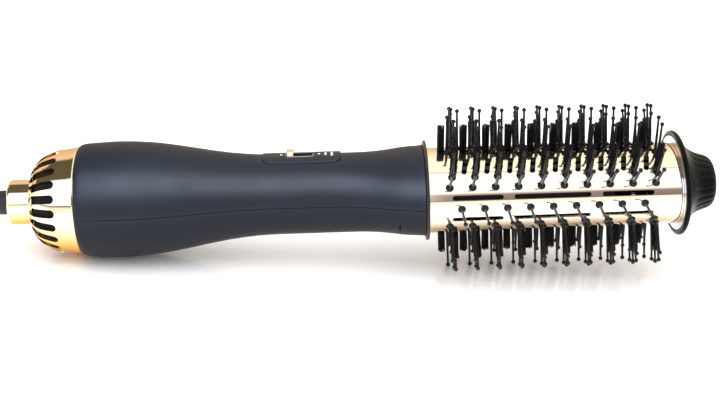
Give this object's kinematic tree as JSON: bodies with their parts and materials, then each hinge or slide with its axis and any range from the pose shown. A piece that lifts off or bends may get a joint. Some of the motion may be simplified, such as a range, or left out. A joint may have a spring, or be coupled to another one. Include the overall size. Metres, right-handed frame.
{
  "type": "hot air brush",
  "caption": "Hand-held hot air styling brush: perforated oval metal barrel with ball-tipped pins and tufts, slim handle with slide switch, slotted air inlet cap and swivel cord.",
  "frame": {"origin": "on the tool's long axis, in the centre of the flat end of the cool tip", "axes": "+X along the tool towards the cool tip, +Z out of the slide switch, +Y completes the right-handed frame; the oval barrel is widest along Y"},
  "size_m": [0.4349, 0.0966, 0.0804],
  "materials": {
    "soft_touch": "matt soft-touch, slate black",
    "dark_plastic": "moulded, satin",
    "panel_plastic": "satin gloss",
    "pin_black": "glossy nylon",
    "bristle": "nylon filaments",
    "tip_black": "smooth satin gloss",
    "cord_rubber": "satin",
    "grey_plastic": "moulded",
    "gold_chrome": "mirror gold plate",
    "barrel_gold": "mirror champagne gold",
    "tip_silver": "satin",
    "steel": "plain",
    "dark_mesh": "blackened woven wire",
    "bronze": "sintered",
    "ferrite": "ground ferrite",
    "copper": "enamelled copper and laminations",
    "board": "solder mask",
    "component_yellow": "moulded",
    "wire_cover": "smooth",
    "mica": "split mica sheet",
    "nichrome": "oxidised wire",
    "ceramic_white": "glazed"
  },
  "bodies": {
    "housing": {"upper_handle_shell": "soft_touch", "lower_handle_shell": "soft_touch", "flange_ring": "dark_plastic", "barrel_socket": "dark_plastic", "socket_screws": "steel", "rear_vent_cap": "gold_chrome", "inlet_mesh": "dark_mesh", "cord_retainer": "dark_plastic", "switch_panel": "panel_plastic", "slide_switch_body": "dark_plastic", "switch_board": "board", "board_screws": "steel", "suppression_capacitor": "component_yellow", "fan_duct": "grey_plastic", "mount_ring": "cord_rubber", "motor_can": "steel", "motor_end_cap": "dark_plastic", "motor_bushes": "bronze", "motor_magnets": "ferrite", "rectifier_board": "board", "rectifier_diodes": "dark_plastic", "mains_wires": "wire_cover", "heater_wires": "wire_cover", "mica_plate_flat": "mica", "mica_plate_upright": "mica", "heater_coils": "nichrome", "heater_sleeve": "mica", "thermostat": "ceramic_white", "thermal_fuse": "steel", "barrel_shell": "barrel_gold", "nose_pin_rails": "pin_black", "upper_pin_rails": "pin_black", "lower_pin_rails": "pin_black", "tuft_rails": "pin_black", "bristle_tufts": "bristle", "tip_plate": "tip_silver", "tie_rods": "steel", "tip_cap": "tip_black"},
    "switch_slide": {"switch_knob": "gold_chrome", "switch_slider": "dark_plastic"},
    "fan_rotor": {"impeller": "grey_plastic", "motor_shaft": "steel", "motor_armature": "copper"},
    "cord_swivel": {"cord_boot": "cord_rubber", "power_cord": "cord_rubber"}
  },
  "joints": [
    {"name": "switch_travel", "type": "slide", "parent": "housing", "child": "switch_slide", "axis": [1, 0, 0], "range_m": [0, 0.009]},
    {"name": "fan_spin", "type": "hinge", "parent": "housing", "child": "fan_rotor", "pos_m": [-0.2929, 0, 0], "axis": [1, 0, 0], "continuous": true},
    {"name": "cord_turn", "type": "hinge", "parent": "housing", "child": "cord_swivel", "pos_m": [-0.3489, 0, 0], "axis": [1, 0, 0], "continuous": true}
  ]
}
